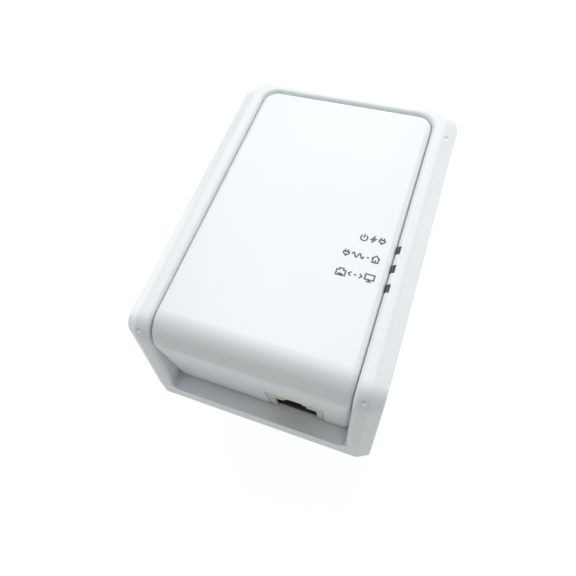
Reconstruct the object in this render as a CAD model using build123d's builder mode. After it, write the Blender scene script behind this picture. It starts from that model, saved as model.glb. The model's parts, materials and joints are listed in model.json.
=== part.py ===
from build123d import *
import math
import os

# Powerline adapter that plugs straight into a wall socket.
# Origin: where the axis of the plug meets the back face. +Z points away from the wall, +Y is up the wall,
# and the network jack is at the -Y end. All sizes are in millimetres.

# ---- Housing ----
BODY_WIDTH = 67.6
BODY_DEPTH = 37.0
TOP_END = 49.0
JACK_END = -51.5  # at the back face: the jack end leans back from here to the front
END_LEAN = 0.19  # how far the jack end leans back for each millimetre of height
WALL = 2.2
PART_LINE = 12.0  # height of the joint between the rear shell and the front frame
JOINT_GAP = 0.1
HALF_WIDTH = BODY_WIDTH / 2
END_BEND = 6.0
TOP_CORNER = 9.0
RIM_BEVEL = 3.4  # width of the bevel round the front, on the face
RIM_DROP = 1.8  # and down the sides
OUTER_SOFTENING = 0.7  # radii where the bevel meets the sides and the face
INNER_SOFTENING = 2.5
SEAM_HEIGHT = 0.2
SEAM_DEPTH = 0.25
BACK_EDGE = 0.8
DIMPLE_RADIUS = 1.0
DIMPLES = ((31.63, 36.0, 37.12), (-29.3, -44.47, 35.47), (29.3, -44.47, 35.47))

# ---- Front cover and the groove round it ----
COVER_HALF_WIDTH = 26.6
COVER_TOP = 42.85
COVER_END = -45.5
COVER_LOW = 5.3
COVER_WALL = 2.4
COVER_END_WALL = 3.0
COVER_BEND = 8.0
COVER_CORNER = 4.6
COVER_LOW_CORNER = 2.5
COVER_GAP = 0.12
SKIRT_LOW = 28.2
COVER_EDGE = 1.6  # radius of the cover's rolled edge
FRAME_EDGE = 1.35  # radius of the frame's edge across the groove
HOOK_ROWS = (-10.0, 12.0, 32.0)
HOOK_WIDTH = 5.0
HOOK_THICKNESS = 1.5
HOOK_REACH = 0.9
HOOK_LOW = 24.9
HOOK_NIB = 0.9

# ---- Well and shelf that hold the cover ----
OPENING_HALF = COVER_HALF_WIDTH + COVER_GAP
OPENING_TOP = COVER_TOP + COVER_GAP
OPENING_CORNER = COVER_CORNER + COVER_GAP
WELL_WALL = 2.0
SHELF_TOP = 28.0
SHELF_LOW = 26.0
SHELF_OPENING_HALF = 24.6
SHELF_OPENING_TOP = 41.2
SHELF_OPENING_END = -39.4
SHELF_OPENING_CORNER = 4.0
END_WALL_FACE = COVER_END + COVER_END_WALL + 0.2
END_WALL_BACK = END_WALL_FACE + 1.8

# ---- Ledge under the jack ----
LEDGE_BASE = 2.0
LEDGE_LOW = 4.2
LEDGE_RIM = 5.4
LEDGE_FLAT_Y = -46.4
LEDGE_BLEND = 2.5

# ---- Vents ----
VENT_COUNT = 11
VENT_PITCH = 5.0
VENT_WIDTH = 1.6
VENT_LOW = 3.6
VENT_HIGH = 9.4

# ---- Boards ----
BOARD = 1.6
POWER_BOARD_LOW = 7.0
POWER_BOARD_TOP = POWER_BOARD_LOW + BOARD
MAIN_BOARD_LOW = 19.2
MAIN_BOARD_TOP = MAIN_BOARD_LOW + BOARD
MAIN_BOARD_HALF = 30.0
MAIN_BOARD_END = -40.2
MAIN_BOARD_HEAD = 5.0
MAIN_NOTCH_X = 22.2
MAIN_NOTCH_Y = -32.6
POWER_BOARD_HALF = 28.8
POWER_BOARD_END = -21.0
POWER_BOARD_HEAD = 44.0
POWER_NOTCH_X = 21.3
POWER_NOTCH_Y = 35.3

# ---- Screws ----
HOUSING_SCREWS = ((-26.0, -36.4), (26.0, -36.4), (-26.0, 40.0), (26.0, 40.0))
REAR_POST_RADIUS = 4.2
FRAME_POST_RADIUS = 3.4
HOUSING_SCREW_RADIUS = 1.45
HOUSING_HEAD_RADIUS = 2.7
HOUSING_HEAD_HEIGHT = 1.8
HOUSING_HEAD_SEAT = 2.4
HOUSING_SCREW_TIP = 22.0
MAIN_SCREWS = ((-27.0, -20.0), (27.0, -20.0), (-27.0, 2.0), (27.0, 2.0))
POWER_SCREWS = ((-24.0, -17.0), (24.0, -17.0), (-24.0, 31.0), (24.0, 31.0))
BOARD_POST_RADIUS = 2.4
BOARD_SCREW_RADIUS = 0.85
BOARD_HEAD_RADIUS = 1.9
BOARD_HEAD_HEIGHT = 1.4
BOARD_SCREW_GRIP = 3.6
SCREW_CLEARANCE = 0.15
PILOT_DEPTH = 1.0  # pilot holes run on past the screw's tip
CROSS_LENGTH = 0.62  # length and width of a screw's cross slot, as shares of the head radius
CROSS_WIDTH = 0.2
CROSS_DEPTH = 0.5

# ---- Network jack ----
JACK_X = 11.3
JACK_WIDTH = 16.0
JACK_LOW = 5.9
JACK_FRONT = COVER_END + 0.1
BEZEL_BACK = JACK_FRONT + 0.6
BEZEL_HOLE_LOW = JACK_LOW - 1.0  # the bezel is open at the bottom
BEZEL_LEAD = 0.3
JACK_BACK = -24.2
JACK_HOLE_GAP = 0.2
PORT_WIDTH = 11.8
PORT_LOW = 7.3
PORT_TOP = 14.3
PORT_BACK = JACK_FRONT + 13.0
LATCH_WIDTH = 6.2
LATCH_TOP = 16.3
CATCH_WIDTH = 4.0
CATCH_TOP = 17.6
CHAMBER_FRONT = PORT_BACK + 2.2
CHAMBER_BACK = CHAMBER_FRONT + 4.2
CHAMBER_WIDTH = 11.2
CONTACT_COUNT = 8
CONTACT_PITCH = 1.02
CONTACT_WIDTH = 0.45
CONTACT_THICKNESS = 0.35
CONTACT_TIP = (-43.4, 7.75)
CONTACT_RISE = (-34.0, 9.0)
CONTACT_CORNER_Y = -28.2
CONTACT_SLOT = 0.7  # half the height of the slot that the contacts leave through

# ---- Indicators ----
INDICATORS = {"power": -4.3, "line": -9.95, "ethernet": -15.6}
LENS_OUTER = 27.75
LENS_LENGTH = 2.3
LENS_LOW = 22.0
LENS_FOOT_REACH = 0.8
LENS_FOOT = (25.2, 25.9)
LENS_SLOT_GAP = 0.05
LED_SIZE = (1.6, 0.9, 0.7)
LED_X = (OPENING_HALF + LENS_OUTER) / 2

# ---- Pairing button ----
BUTTON_Y = -27.5
BUTTON_Z = 24.0
BUTTON_LENGTH = 6.8
BUTTON_HEIGHT = 3.6
BUTTON_GAP = 0.25
BUTTON_FACE = HALF_WIDTH - 0.2
BUTTON_FLANGE = (9.2, 5.2)
BUTTON_FLANGE_X = (HALF_WIDTH - WALL - 1.3, HALF_WIDTH - WALL - 0.3)
BUTTON_EDGE = 0.4
BUTTON_FLANGE_CORNER = 1.0
BUTTON_NOSE_RADIUS = 1.2
PLUNGER_FACE = 28.9
PLUNGER_RADIUS = 0.9
PLUNGER_BACK = 27.5
SWITCH_X = (24.5, 28.0)
SWITCH_LENGTH = 6.0
SWITCH_TOP = 25.6
SWITCH_POCKET_X = 27.0
PLUNGER_GAP = 0.08

# ---- Plug ----
BOSS_RADIUS = 18.5
BOSS_HEIGHT = 17.5
BOSS_EDGE = 1.0
GUIDE_NOTCH = (5.6, 2.2)
CLIP_NOTCH = (6.0, 1.8)
NECK = (27.0, 12.0)
NECK_CORNER = 3.0
NECK_GAP = 0.2
HOLLOW = (23.5, 8.5)
HOLLOW_CORNER = 2.0
BOSS_FLOOR = 4.0
PIN_SPACING = 19.0
PIN_RADIUS = 2.4
PIN_LENGTH = 19.0
PIN_TIP = 1.6
PIN_ROOT_RADIUS = 2.0
PIN_TAIL_RADIUS = 1.2
PIN_TAIL = 2.0
PIN_GAP = 0.05
STRIP_THICKNESS = 0.6
STRIP_WIDTH = 3.0
STRIP_PAD = 4.2
PLUG_SCREW_Y = 13.0
PLUG_SCREW_RADIUS = 1.3
PLUG_SCREW_HEAD = 2.4
PLUG_SCREW_DEPTH = 9.0

# ---- Header between the boards ----
HEADER_CENTRE = (-24.0, -9.0)
HEADER_SIZE = (5.0, 10.4)
HEADER_PITCH = 2.54
HEADER_PIN = 0.64
HEADER_PIN_HOLE = 0.72
BOARD_PIN_HOLE = 0.55
HEADER_PIN_RANGE = (5.6, 22.4)

# ---- Signal parts on the main board: centre in plan, then length, width and height ----
PLC_CENTRE = (-6.0, -12.0)
PLC_SIZE = (14.0, 14.0, 1.4)
PAD_SIZE = (13.0, 13.0, 0.5)
SINK_SIZE = (18.0, 18.0, 1.5)
SINK_FIN_HEIGHT = 5.0
SINK_FINS = 6
SINK_FIN = 1.2
ETHERNET_CENTRE = (10.0, -16.0)
ETHERNET_SIZE = (7.0, 7.0, 0.9)
MEMORY_CENTRE = (-20.0, -22.0)
MEMORY_SIZE = (8.0, 12.0, 1.1)
FLASH_CENTRE = (-20.0, -2.0)
FLASH_SIZE = (4.0, 5.0, 1.6)
CRYSTAL_CENTRE = (10.0, -4.0)
CRYSTAL_SIZE = (11.0, 4.7, 3.6)
MAGNETICS_CENTRE = (11.3, -28.0)
MAGNETICS_SIZE = (16.0, 9.6, 6.0)
SHEET_SIZE = (40.0, 24.0, 0.3)
SHEET_CENTRE = (0.0, -8.0)

# ---- Mains parts on the power board ----
VARISTOR_AT = (24.0, -10.0)
VARISTOR_RADIUS = 4.5
VARISTOR_THICKNESS = 4.0
VARISTOR_EDGE = 1.2
DISC_CAPACITOR_AT = (-4.0, -4.0)
DISC_CAPACITOR_RADIUS = 4.0
DISC_CAPACITOR_THICKNESS = 3.0
DISC_CAPACITOR_EDGE = 1.0
DISC_CLEARANCE = 0.2  # between a disc's edge and the board
FUSE_CENTRE = (9.0, -15.0)
FUSE_RADIUS = 4.2
FUSE_HEIGHT = 7.6
BRIDGE_CENTRE = (-4.0, -16.0)
BRIDGE_SIZE = (8.6, 6.4, 2.6)
COUPLER_CENTRE = (-14.0, -13.5)
COUPLER_SIZE = (11.0, 11.0, 8.6)
CHOKE_CENTRE = (14.0, -3.0)
CHOKE_CORE = (3.6, 6.6)
CHOKE_CORE_Z = (POWER_BOARD_TOP + 1.5, POWER_BOARD_TOP + 6.5)
CHOKE_WIRE = 0.8
CHOKE_SPLIT = 3.4
FILM_CAPACITOR_CENTRE = (12.0, 13.0)
FILM_CAPACITOR_SIZE = (18.0, 7.0, 13.0)
FILM_CAPACITOR_EDGE = 0.6
BULK_CENTRE = (11.0, 29.0)
BULK_RADIUS = 6.3
BULK_HEIGHT = 20.0
OUTPUT_CENTRE = (-6.0, 38.5)
OUTPUT_RADIUS = 4.0
OUTPUT_HEIGHT = 12.0
CAN_EDGE = 0.7
DIODE_CENTRE = (-17.0, 34.5)
DIODE_SIZE = (7.0, 6.0, 2.3)
CONVERTER_CENTRE = (23.5, 21.5)
CONVERTER_SIZE = (6.4, 9.4, 3.4)
FLYBACK_CENTRE = (-13.0, 19.0)
FLYBACK_CORE = (20.0, 6.0, 16.0)
FLYBACK_WINDOW = (5.0, 10.0)
FLYBACK_LEG = 5.0
FLYBACK_WINDING = (13.6, 15.0, 9.6)
WINDING_CORNER = 2.0

# ---- Label ----
LABEL_SIZE = (40.0, 17.0)
LABEL_Y = -33.5
LABEL_CORNER = 1.5
LABEL_RECESS = 0.25
LABEL_INSET = 0.05
LABEL_GAP = 0.2

TINY = 0.01
FAR = 60.0


def block(low, high, mode=Mode.ADD):
    """A box between its lowest and highest corners."""
    size = [top - bottom for bottom, top in zip(low, high)]
    with Locations(tuple(low)):
        Box(*size, align=(Align.MIN, Align.MIN, Align.MIN), mode=mode)


def chip(centre, size, low, mode=Mode.ADD):
    """A box that stands at height low, centred on a point in plan."""
    with Locations((centre[0], centre[1], low)):
        Box(*size, align=(Align.CENTER, Align.CENTER, Align.MIN), mode=mode)


def posts(places, radius, low, high, mode=Mode.ADD):
    """Upright cylinders at the given points in plan."""
    for x, y in places:
        with Locations((x, y, low)):
            Cylinder(radius, high - low, align=(Align.CENTER, Align.CENTER, Align.MIN), mode=mode)


def screw_slots(places, radius, face, into):
    """Cross slots in the screw heads, cut from the height face in the direction into (+1 or -1)."""
    long_side = 2 * CROSS_LENGTH * radius
    short_side = 2 * CROSS_WIDTH * radius
    low = min(face, face + into * CROSS_DEPTH)
    for centre in places:
        chip(centre, (long_side, short_side, CROSS_DEPTH), low, Mode.SUBTRACT)
        chip(centre, (short_side, long_side, CROSS_DEPTH), low, Mode.SUBTRACT)


def end_face(height):
    """How far out the leaning jack end reaches at a height."""
    return JACK_END + END_LEAN * height


def housing_solid(inset):
    """The housing's outer form, or the form inset from it all round by a wall thickness."""
    half_width = HALF_WIDTH - inset
    jack_inset = inset * math.hypot(1, END_LEAN)
    top_end = TOP_END - inset
    front = BODY_DEPTH - inset
    corner_y = end_face(front) + jack_inset
    with BuildPart() as form:
        with BuildSketch(Plane.YZ.offset(-half_width)) as side_view:
            with BuildLine():
                Polyline(
                    (end_face(inset) + jack_inset, inset),
                    (top_end, inset),
                    (top_end, front),
                    (corner_y, front),
                    close=True,
                )
            make_face()
            corner = side_view.vertices().sort_by_distance((corner_y, front))[0]
            fillet(corner, END_BEND - inset)
        extrude(amount=2 * half_width)
        fillet(form.edges().filter_by(Axis.Z).group_by(Axis.Y)[-1], TOP_CORNER - inset)
        front_face = form.faces().filter_by(Axis.Z).group_by(Axis.Z)[-1][0]
        rim_edge = front_face.edges().sort_by_distance((half_width, 0, front))[0]
        chamfer(rim_edge, RIM_BEVEL, RIM_DROP, reference=front_face)
        fillet(form.edges().sort_by_distance((half_width, 0, front - RIM_DROP))[0], OUTER_SOFTENING)
        fillet(form.edges().sort_by_distance((half_width - RIM_BEVEL, 0, front))[0], INNER_SOFTENING)
        if inset < BACK_EDGE:
            fillet(form.faces().sort_by(Axis.Z)[0].edges(), BACK_EDGE - inset)
    return form.part


def cover_opening(low):
    """The opening that the cover drops into, seen from the front, cut down to the height low."""
    centre_y = (OPENING_TOP - FAR) / 2
    with BuildSketch(Plane.XY.offset(low)) as opening:
        with Locations((0, centre_y)):
            Rectangle(2 * OPENING_HALF, OPENING_TOP + FAR)
        fillet(opening.vertices().group_by(Axis.Y)[-1], OPENING_CORNER)
    extrude(opening.sketch, amount=FAR, mode=Mode.SUBTRACT)


# ---- Forms shared by the two halves of the housing ----
outer_form = housing_solid(0)
inner_form = housing_solid(WALL)
seam_form = housing_solid(SEAM_DEPTH)

with BuildPart() as opened_form:
    add(outer_form)
    with Locations(*DIMPLES):
        Sphere(DIMPLE_RADIUS, mode=Mode.SUBTRACT)
    cover_opening(SHELF_TOP)
    block((-OPENING_HALF, -FAR, LEDGE_BASE), (OPENING_HALF, END_WALL_FACE, FAR), Mode.SUBTRACT)
    front_face = opened_form.faces().filter_by(Axis.Z).group_by(Axis.Z)[-1][0]
    rim_edge = front_face.edges().filter_by(Axis.Y).sort_by_distance((OPENING_HALF, 0, BODY_DEPTH))[0]
    fillet(rim_edge, FRAME_EDGE)

with BuildPart() as cavity:
    add(inner_form)
    well_side = OPENING_HALF + WELL_WALL
    block((-well_side, -FAR, SHELF_LOW), (well_side, OPENING_TOP + WELL_WALL, FAR), Mode.SUBTRACT)
    block((-well_side, -FAR, -FAR), (well_side, END_WALL_BACK, FAR), Mode.SUBTRACT)

with BuildPart() as recess_tool:
    with BuildSketch(Plane.YZ.offset(-OPENING_HALF)):
        with BuildLine():
            under_cover = Line((END_WALL_FACE, LEDGE_LOW), (LEDGE_FLAT_Y, LEDGE_LOW))
            scoop = TangentArc(under_cover @ 1, (end_face(LEDGE_RIM), LEDGE_RIM), tangent=(-1, 0))
            outside = Line(scoop @ 1, scoop @ 1 + FAR / 2 * (scoop % 1))
            Polyline(outside @ 1, ((outside @ 1).X, FAR), (END_WALL_FACE, FAR), under_cover @ 0)
        make_face()
    extrude(amount=2 * OPENING_HALF)

    def along_ledge(edge):
        on_side = abs(abs(edge.position_at(0.5).X) - OPENING_HALF) < TINY
        return on_side and edge.position_at(0.5).Z < FAR / 2 and edge.geom_type == GeomType.LINE

    fillet(recess_tool.edges().filter_by(along_ledge), LEDGE_BLEND)

with BuildPart() as ledge:
    add(outer_form)
    ledge_top = LEDGE_LOW + LEDGE_BLEND
    block((-well_side, -FAR, 0), (well_side, END_WALL_BACK, ledge_top), Mode.INTERSECT)
    add(recess_tool.part, mode=Mode.SUBTRACT)

with BuildPart() as seam:
    block((-FAR, -FAR, PART_LINE - SEAM_HEIGHT), (FAR, FAR, PART_LINE))
    add(seam_form, mode=Mode.SUBTRACT)

# ---- Rear shell ----
with BuildPart() as rear_shell:
    add(opened_form.part)
    split(bisect_by=Plane.XY.offset(PART_LINE), keep=Keep.BOTTOM)
    add(seam.part, mode=Mode.SUBTRACT)
    add(ledge.part)
    add(cavity.part, mode=Mode.SUBTRACT)
    for vent in range(VENT_COUNT):
        vent_y = (vent - (VENT_COUNT - 1) / 2) * VENT_PITCH
        block(
            (-FAR, vent_y - VENT_WIDTH / 2, VENT_LOW),
            (FAR, vent_y + VENT_WIDTH / 2, VENT_HIGH),
            Mode.SUBTRACT,
        )
    posts(HOUSING_SCREWS, REAR_POST_RADIUS, WALL / 2, PART_LINE - JOINT_GAP)
    posts(HOUSING_SCREWS, HOUSING_SCREW_RADIUS + SCREW_CLEARANCE, 0, PART_LINE, Mode.SUBTRACT)
    posts(HOUSING_SCREWS, HOUSING_HEAD_RADIUS + SCREW_CLEARANCE, 0, HOUSING_HEAD_SEAT, Mode.SUBTRACT)
    posts(POWER_SCREWS, BOARD_POST_RADIUS, WALL / 2, POWER_BOARD_LOW)
    posts(POWER_SCREWS, BOARD_SCREW_RADIUS, WALL, POWER_BOARD_LOW, Mode.SUBTRACT)
    block(
        (JACK_X - JACK_WIDTH / 2 - JACK_HOLE_GAP, END_WALL_FACE - TINY, JACK_LOW - JACK_HOLE_GAP),
        (JACK_X + JACK_WIDTH / 2 + JACK_HOLE_GAP, END_WALL_BACK + TINY, PART_LINE),
        Mode.SUBTRACT,
    )
    with BuildSketch():
        RectangleRounded(NECK[0] + 2 * NECK_GAP, NECK[1] + 2 * NECK_GAP, NECK_CORNER)
        with Locations((0, PLUG_SCREW_Y), (0, -PLUG_SCREW_Y)):
            Circle(PLUG_SCREW_RADIUS + SCREW_CLEARANCE)
    extrude(amount=WALL, mode=Mode.SUBTRACT)
    with BuildSketch():
        with Locations((0, LABEL_Y)):
            RectangleRounded(*LABEL_SIZE, LABEL_CORNER)
    extrude(amount=LABEL_RECESS, mode=Mode.SUBTRACT)

# ---- Front frame ----
with BuildPart() as front_frame:
    add(opened_form.part)
    split(bisect_by=Plane.XY.offset(PART_LINE), keep=Keep.TOP)
    add(cavity.part, mode=Mode.SUBTRACT)
    with BuildSketch(Plane.XY.offset(SHELF_LOW)) as shelf_opening:
        with Locations((0, (SHELF_OPENING_TOP + SHELF_OPENING_END) / 2)):
            opening_length = SHELF_OPENING_TOP - SHELF_OPENING_END
            RectangleRounded(2 * SHELF_OPENING_HALF, opening_length, SHELF_OPENING_CORNER)
    extrude(amount=SHELF_TOP - SHELF_LOW, mode=Mode.SUBTRACT)
    posts(HOUSING_SCREWS, FRAME_POST_RADIUS, PART_LINE + JOINT_GAP, SHELF_LOW + WALL / 2)
    pilot_radius = HOUSING_SCREW_RADIUS + PIN_GAP
    posts(HOUSING_SCREWS, pilot_radius, PART_LINE, HOUSING_SCREW_TIP + PILOT_DEPTH, Mode.SUBTRACT)
    posts(MAIN_SCREWS, BOARD_POST_RADIUS, MAIN_BOARD_TOP, SHELF_LOW + WALL / 2)
    posts(MAIN_SCREWS, BOARD_SCREW_RADIUS, MAIN_BOARD_TOP, SHELF_LOW - PILOT_DEPTH, Mode.SUBTRACT)
    block(
        (JACK_X - JACK_WIDTH / 2 - JACK_HOLE_GAP, END_WALL_FACE - TINY, PART_LINE),
        (JACK_X + JACK_WIDTH / 2 + JACK_HOLE_GAP, END_WALL_BACK + TINY, MAIN_BOARD_LOW + JACK_HOLE_GAP),
        Mode.SUBTRACT,
    )
    for lens_y in INDICATORS.values():
        block(
            (OPENING_HALF - TINY, lens_y - LENS_LENGTH / 2 - LENS_SLOT_GAP, SHELF_LOW),
            (LENS_OUTER + LENS_SLOT_GAP, lens_y + LENS_LENGTH / 2 + LENS_SLOT_GAP, BODY_DEPTH),
            Mode.SUBTRACT,
        )
    with BuildSketch(Plane.YZ.offset(HALF_WIDTH - WALL - TINY)) as button_hole:
        with Locations((BUTTON_Y, BUTTON_Z)):
            SlotOverall(BUTTON_LENGTH + 2 * BUTTON_GAP, BUTTON_HEIGHT + 2 * BUTTON_GAP)
    extrude(amount=WALL + 2 * TINY, mode=Mode.SUBTRACT)

# ---- Front cover ----
with BuildPart() as front_cover:
    with BuildSketch(Plane.YZ.offset(-COVER_HALF_WIDTH)) as cover_side:
        with BuildLine():
            Polyline(
                (COVER_END, COVER_LOW),
                (COVER_END + COVER_END_WALL, COVER_LOW),
                (COVER_END + COVER_END_WALL, SKIRT_LOW),
                (COVER_TOP, SKIRT_LOW),
                (COVER_TOP, BODY_DEPTH),
                (COVER_END, BODY_DEPTH),
                close=True,
            )
        make_face()
        fillet(cover_side.vertices().sort_by_distance((COVER_END, BODY_DEPTH))[0], COVER_BEND)
    extrude(amount=2 * COVER_HALF_WIDTH)
    fillet(front_cover.edges().filter_by(Axis.Z).group_by(Axis.Y)[-1], COVER_CORNER)
    cover_face = front_cover.faces().filter_by(Axis.Z).group_by(Axis.Z)[-1][0]
    rolled_edge = cover_face.edges().filter_by(Axis.Y).sort_by_distance((COVER_HALF_WIDTH, 0, BODY_DEPTH))[0]
    fillet(rolled_edge, COVER_EDGE)
    with BuildSketch(Plane.YZ.offset(-COVER_HALF_WIDTH + COVER_WALL)) as cover_hollow:
        with BuildLine():
            Polyline(
                (COVER_END + COVER_END_WALL, SKIRT_LOW),
                (COVER_TOP - COVER_WALL, SKIRT_LOW),
                (COVER_TOP - COVER_WALL, BODY_DEPTH - COVER_WALL),
                (COVER_END + COVER_END_WALL, BODY_DEPTH - COVER_WALL),
                close=True,
            )
        make_face()
        inner_bend_corner = (COVER_END + COVER_END_WALL, BODY_DEPTH - COVER_WALL)
        fillet(cover_hollow.vertices().sort_by_distance(inner_bend_corner)[0], COVER_BEND - COVER_WALL)
    extrude(amount=2 * (COVER_HALF_WIDTH - COVER_WALL), mode=Mode.SUBTRACT)
    with BuildSketch(Plane.XZ.offset(-FAR)) as end_outline:
        with Locations((0, COVER_LOW + FAR / 2)):
            Rectangle(2 * COVER_HALF_WIDTH, FAR)
        fillet(end_outline.vertices().group_by(Axis.Z)[0], COVER_LOW_CORNER)
    extrude(amount=2 * FAR, mode=Mode.INTERSECT)
    for hook_side in (-1, 1):
        for hook_y in HOOK_ROWS:
            leg_outer = COVER_HALF_WIDTH - COVER_WALL
            leg_centre = hook_side * (leg_outer - HOOK_THICKNESS / 2)
            leg_height = BODY_DEPTH - COVER_WALL - HOOK_LOW
            chip((leg_centre, hook_y), (HOOK_THICKNESS, HOOK_WIDTH, leg_height), HOOK_LOW)
            nib_centre = hook_side * (leg_outer + HOOK_REACH / 2)
            chip((nib_centre, hook_y), (HOOK_REACH, HOOK_WIDTH, HOOK_NIB), HOOK_LOW)
    block(
        (JACK_X - JACK_WIDTH / 2 - JACK_HOLE_GAP, -FAR, 0),
        (JACK_X + JACK_WIDTH / 2 + JACK_HOLE_GAP, END_WALL_FACE, MAIN_BOARD_LOW + JACK_HOLE_GAP),
        Mode.SUBTRACT,
    )

# ---- Indicators: a lens in the groove above each LED ----


def indicator_lens(y):
    """A light pipe whose top follows the frame's rolled edge, with a foot below the shelf."""
    with BuildPart() as lens:
        block(
            (OPENING_HALF, y - LENS_LENGTH / 2, SHELF_TOP),
            (LENS_OUTER, y + LENS_LENGTH / 2, FAR),
        )
        add(opened_form.part, mode=Mode.INTERSECT)
        block(
            (OPENING_HALF, y - LENS_LENGTH / 2, LENS_LOW),
            (LENS_OUTER, y + LENS_LENGTH / 2, SHELF_TOP),
        )
        foot_width = LENS_OUTER - OPENING_HALF + 2 * LENS_FOOT_REACH
        chip((LED_X, y), (foot_width, LENS_LENGTH, LENS_FOOT[1] - LENS_FOOT[0]), LENS_FOOT[0])
    return lens


def indicator_led(y):
    """A small surface-mounted LED on the main board."""
    with BuildPart() as led:
        chip((LED_X, y), (LED_SIZE[1], LED_SIZE[0], LED_SIZE[2]), MAIN_BOARD_TOP)
    return led


lenses = {}
leds = {}
for purpose, lens_y in INDICATORS.items():
    lenses[purpose] = indicator_lens(lens_y)
    leds[purpose] = indicator_led(lens_y)

# ---- Pairing button and its switch ----
with BuildPart() as pair_button:
    with BuildSketch(Plane.YZ.offset(BUTTON_FLANGE_X[1])):
        with Locations((BUTTON_Y, BUTTON_Z)):
            SlotOverall(BUTTON_LENGTH, BUTTON_HEIGHT)
    extrude(amount=BUTTON_FACE - BUTTON_FLANGE_X[1])
    fillet(pair_button.faces().sort_by(Axis.X)[-1].edges(), BUTTON_EDGE)
    with BuildSketch(Plane.YZ.offset(BUTTON_FLANGE_X[0])):
        with Locations((BUTTON_Y, BUTTON_Z)):
            RectangleRounded(*BUTTON_FLANGE, BUTTON_FLANGE_CORNER)
    extrude(amount=BUTTON_FLANGE_X[1] - BUTTON_FLANGE_X[0])
    with BuildSketch(Plane.YZ.offset(PLUNGER_FACE)):
        with Locations((BUTTON_Y, BUTTON_Z)):
            Circle(BUTTON_NOSE_RADIUS)
    extrude(amount=BUTTON_FLANGE_X[0] - PLUNGER_FACE)

with BuildPart() as switch_plunger:
    with BuildSketch(Plane.YZ.offset(PLUNGER_BACK)):
        with Locations((BUTTON_Y, BUTTON_Z)):
            Circle(PLUNGER_RADIUS)
    extrude(amount=PLUNGER_FACE - PLUNGER_BACK)

with BuildPart() as switch_body:
    block(
        (SWITCH_X[0], BUTTON_Y - SWITCH_LENGTH / 2, MAIN_BOARD_TOP),
        (SWITCH_X[1], BUTTON_Y + SWITCH_LENGTH / 2, SWITCH_TOP),
    )
    with BuildSketch(Plane.YZ.offset(SWITCH_POCKET_X)):
        with Locations((BUTTON_Y, BUTTON_Z)):
            Circle(PLUNGER_RADIUS + PLUNGER_GAP)
    extrude(amount=SWITCH_X[1] - SWITCH_POCKET_X, mode=Mode.SUBTRACT)

# ---- Header between the boards ----
header_places = [
    (HEADER_CENTRE[0] + column * HEADER_PITCH, HEADER_CENTRE[1] + row * HEADER_PITCH)
    for column in (-0.5, 0.5)
    for row in (-1.5, -0.5, 0.5, 1.5)
]

with BuildPart() as header_block:
    chip(HEADER_CENTRE, (*HEADER_SIZE, MAIN_BOARD_LOW - POWER_BOARD_TOP), POWER_BOARD_TOP)
    for place in header_places:
        hole_size = (HEADER_PIN_HOLE, HEADER_PIN_HOLE, MAIN_BOARD_LOW - POWER_BOARD_TOP)
        chip(place, hole_size, POWER_BOARD_TOP, Mode.SUBTRACT)

with BuildPart() as header_pins:
    for place in header_places:
        pin_height = HEADER_PIN_RANGE[1] - HEADER_PIN_RANGE[0]
        chip(place, (HEADER_PIN, HEADER_PIN, pin_height), HEADER_PIN_RANGE[0])

# ---- Boards ----
with BuildPart() as main_pcb:
    block(
        (-MAIN_BOARD_HALF, MAIN_BOARD_END, MAIN_BOARD_LOW),
        (MAIN_BOARD_HALF, MAIN_BOARD_HEAD, MAIN_BOARD_TOP),
    )
    block((-FAR, -FAR, 0), (-MAIN_NOTCH_X, MAIN_NOTCH_Y, FAR), Mode.SUBTRACT)
    block((MAIN_NOTCH_X, -FAR, 0), (FAR, MAIN_NOTCH_Y, FAR), Mode.SUBTRACT)
    posts(MAIN_SCREWS, BOARD_SCREW_RADIUS + SCREW_CLEARANCE, 0, FAR, Mode.SUBTRACT)
    posts(header_places, BOARD_PIN_HOLE, 0, FAR, Mode.SUBTRACT)

with BuildPart() as power_pcb:
    block(
        (-POWER_BOARD_HALF, POWER_BOARD_END, POWER_BOARD_LOW),
        (POWER_BOARD_HALF, POWER_BOARD_HEAD, POWER_BOARD_TOP),
    )
    block((-FAR, POWER_NOTCH_Y, 0), (-POWER_NOTCH_X, FAR, FAR), Mode.SUBTRACT)
    block((POWER_NOTCH_X, POWER_NOTCH_Y, 0), (FAR, FAR, FAR), Mode.SUBTRACT)
    posts(POWER_SCREWS, BOARD_SCREW_RADIUS + SCREW_CLEARANCE, 0, FAR, Mode.SUBTRACT)
    posts(header_places, BOARD_PIN_HOLE, 0, FAR, Mode.SUBTRACT)

with BuildPart() as insulation_sheet:
    chip(SHEET_CENTRE, SHEET_SIZE, MAIN_BOARD_LOW - SHEET_SIZE[2])

# ---- Network jack: a pale bezel in front of the black housing ----


def port_hole(low):
    """The opening for the network plug, up from low, and the notches for its latch."""
    for width, high in ((PORT_WIDTH, PORT_TOP), (LATCH_WIDTH, LATCH_TOP), (CATCH_WIDTH, CATCH_TOP)):
        block(
            (JACK_X - width / 2, JACK_FRONT - 1, low),
            (JACK_X + width / 2, PORT_BACK, high),
            Mode.SUBTRACT,
        )


def round_port(point):
    """True for a point on the rim of the port, and false for one on the jack's outer edges."""
    return abs(point.X - JACK_X) < PORT_WIDTH / 2 + TINY and JACK_LOW + TINY < point.Z < CATCH_TOP + TINY


with BuildPart() as jack_bezel:
    block(
        (JACK_X - JACK_WIDTH / 2, JACK_FRONT, JACK_LOW),
        (JACK_X + JACK_WIDTH / 2, BEZEL_BACK, MAIN_BOARD_LOW),
    )
    port_hole(BEZEL_HOLE_LOW)
    bezel_face = jack_bezel.faces().filter_by(Axis.Y).sort_by(Axis.Y)[0]
    inside = [edge for edge in bezel_face.edges() if round_port(edge.center())]
    chamfer(inside, BEZEL_LEAD)

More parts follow.
